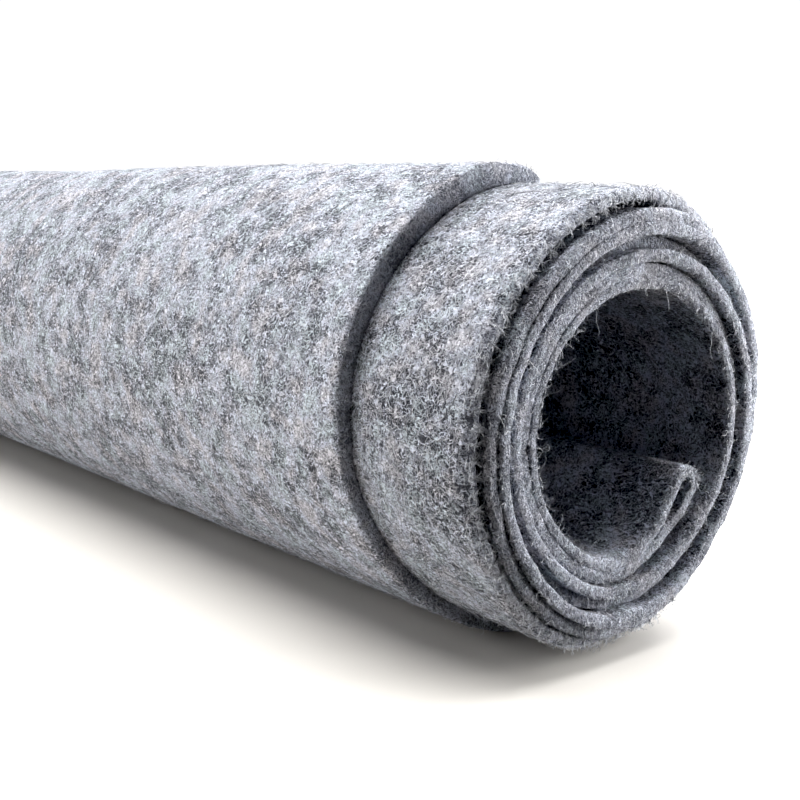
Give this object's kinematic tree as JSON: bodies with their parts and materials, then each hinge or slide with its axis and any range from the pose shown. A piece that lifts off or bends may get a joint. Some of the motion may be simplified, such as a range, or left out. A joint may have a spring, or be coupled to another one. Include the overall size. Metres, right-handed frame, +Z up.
{
  "type": "roll of felt",
  "caption": "Heathered grey wool-blend felt, one cut sheet folded in half and rolled up from the fold, lying on its side with staggered ply edges and a hollow core at the shown end",
  "frame": {"origin": "Under the middle of the roll, on the surface it rests on", "axes": "+X along the roll towards the shown end, +Z up, so the loose outer ply's side of the roll that faces the viewer is -Y"},
  "size_m": [0.4692, 0.0482, 0.0499],
  "materials": {
    "felt": "matt, fuzzy pressed wool-blend felt in mixed light and dark grey"
  },
  "bodies": {
    "root": {"felt_roll": "felt"}
  },
  "joints": []
}
